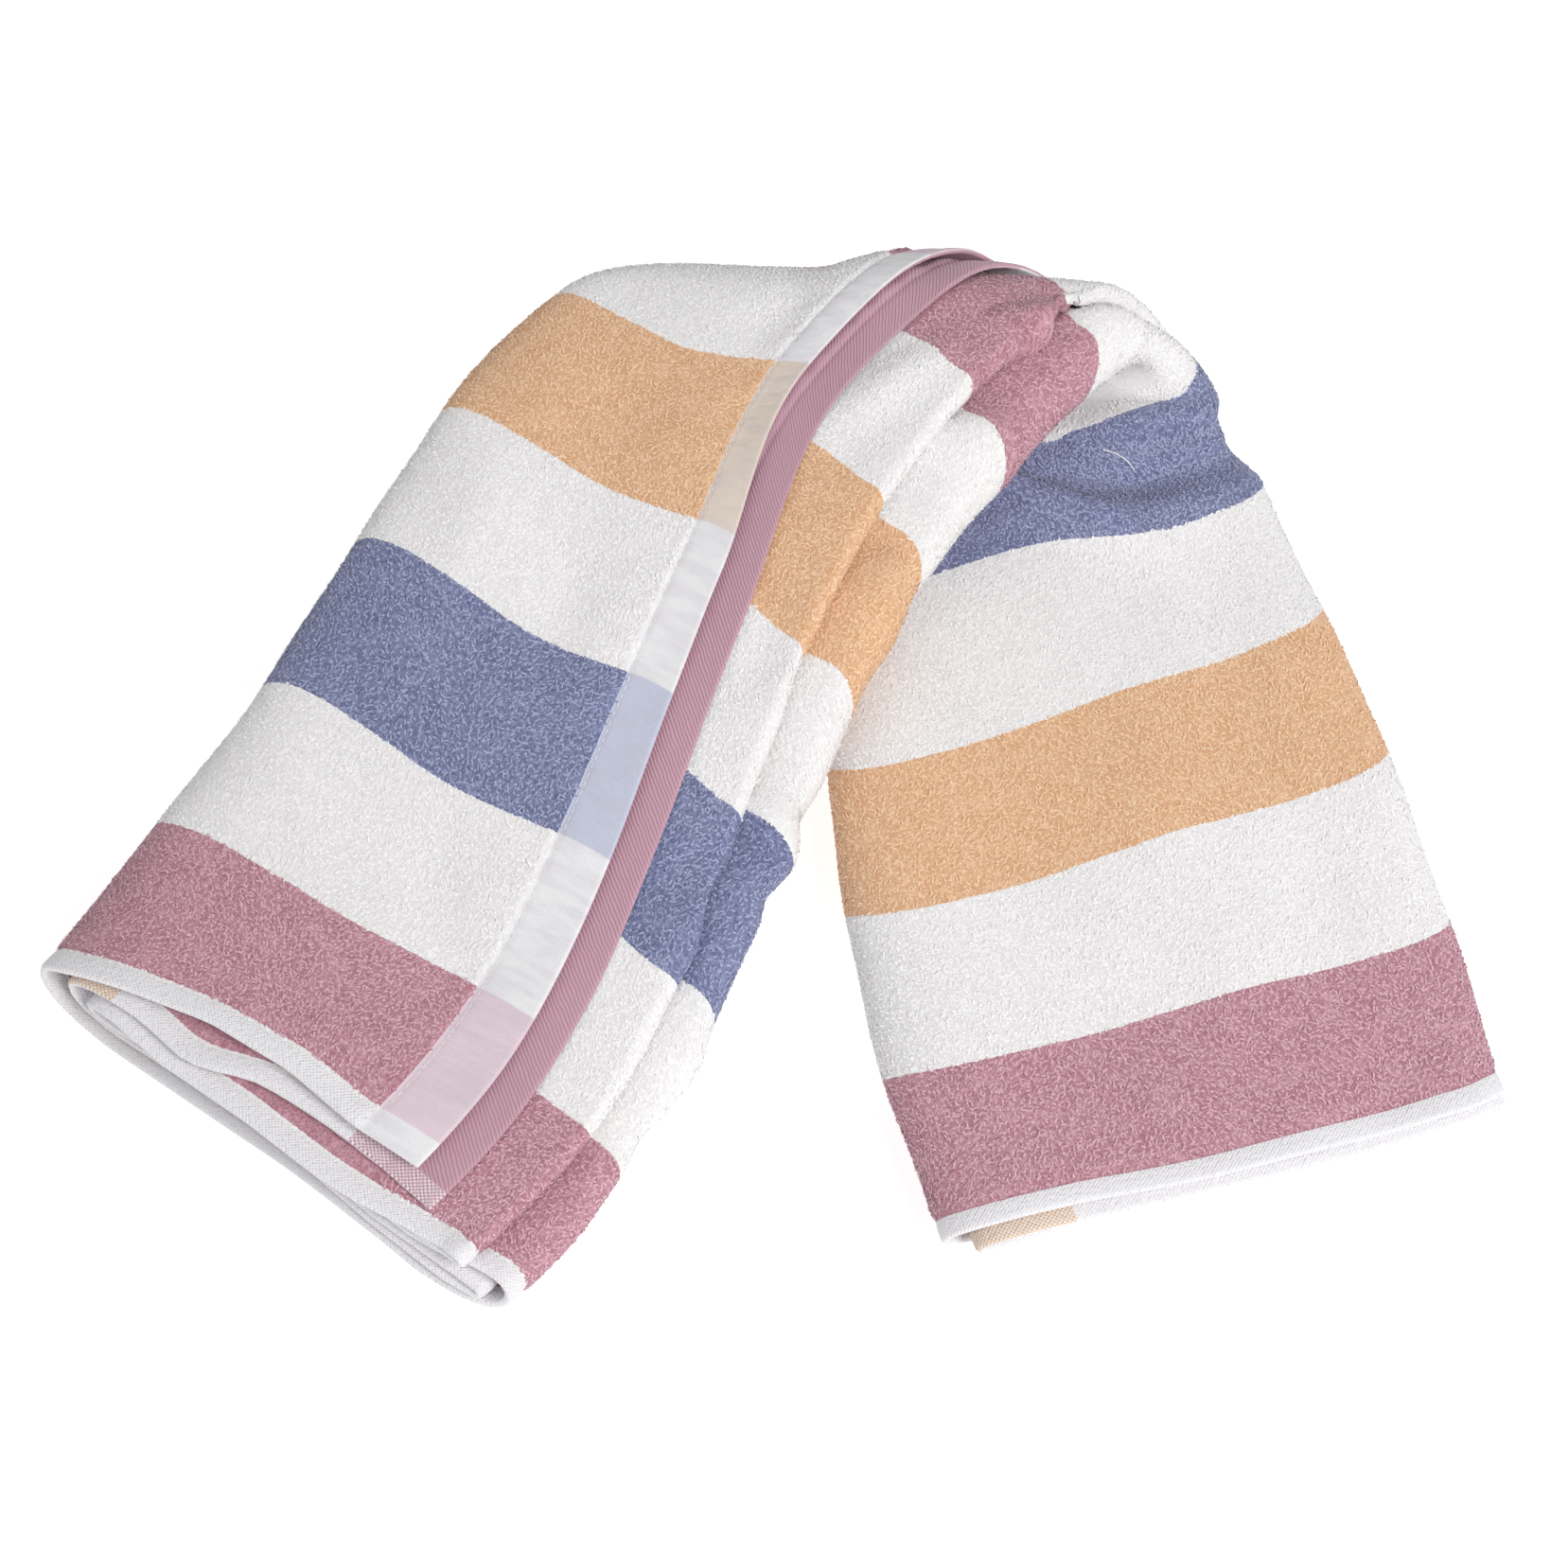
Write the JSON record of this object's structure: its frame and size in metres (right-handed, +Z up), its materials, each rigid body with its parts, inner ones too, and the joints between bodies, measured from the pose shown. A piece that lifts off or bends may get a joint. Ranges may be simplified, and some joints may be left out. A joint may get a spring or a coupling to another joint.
{
  "type": "bath towel",
  "caption": "Striped terry bath towel, folded into a long strip and turned over on itself so one leg crosses the other, hems showing on the upper leg.",
  "frame": {"origin": "centre of the bounding box at the surface the towel rests on", "axes": "+Z up from the surface; both feet of the folded strip point towards -Y, the turned-over ridge is towards +Y, and the leg with the hems is on the -X side"},
  "size_m": [0.4654, 0.3634, 0.0834],
  "materials": {
    "terry": "cotton terry pile, white with dusty pink, lavender blue and apricot stripes"
  },
  "bodies": {
    "root": {"towel": "terry"}
  },
  "joints": []
}
